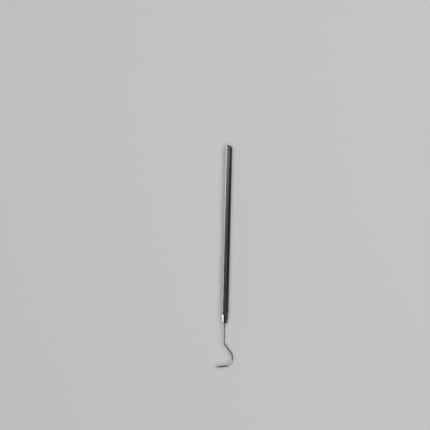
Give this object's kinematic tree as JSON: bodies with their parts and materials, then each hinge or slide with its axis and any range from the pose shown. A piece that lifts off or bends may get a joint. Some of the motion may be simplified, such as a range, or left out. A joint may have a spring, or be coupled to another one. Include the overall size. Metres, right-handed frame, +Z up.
{
  "type": "dental explorer",
  "caption": "Single-ended dental explorer: a slim octagonal steel handle with a short turned nose and a thin wire working end, bent aside and curved back to a fine point.",
  "frame": {"origin": "the middle of the handle's bottom flat, on which the tool rests; the handle's axis is 2.75 mm above it", "axes": "+X along the handle to the working end; +Z up, square to the bottom flat; the hook lies in the level plane through the axis, bulging to +Y, with its point turned to -Y"},
  "size_m": [0.1657, 0.0135, 0.0055],
  "materials": {
    "polished_handle": "drawn stainless tube, polished along its length, with fine hairlines and rubbed edges",
    "turned_steel": "turned and polished stainless steel, with very fine rings round the axis",
    "drawn_wire": "drawn and polished stainless wire, ground along its length to a point",
    "silver_braze": "silver braze, slightly warmer and duller than the steel, smoothly fused"
  },
  "bodies": {
    "root": {"handle_tube": "polished_handle", "butt_plug": "turned_steel", "nose_ferrule": "turned_steel", "explorer_wire": "drawn_wire", "braze_fillet": "silver_braze"}
  },
  "joints": []
}
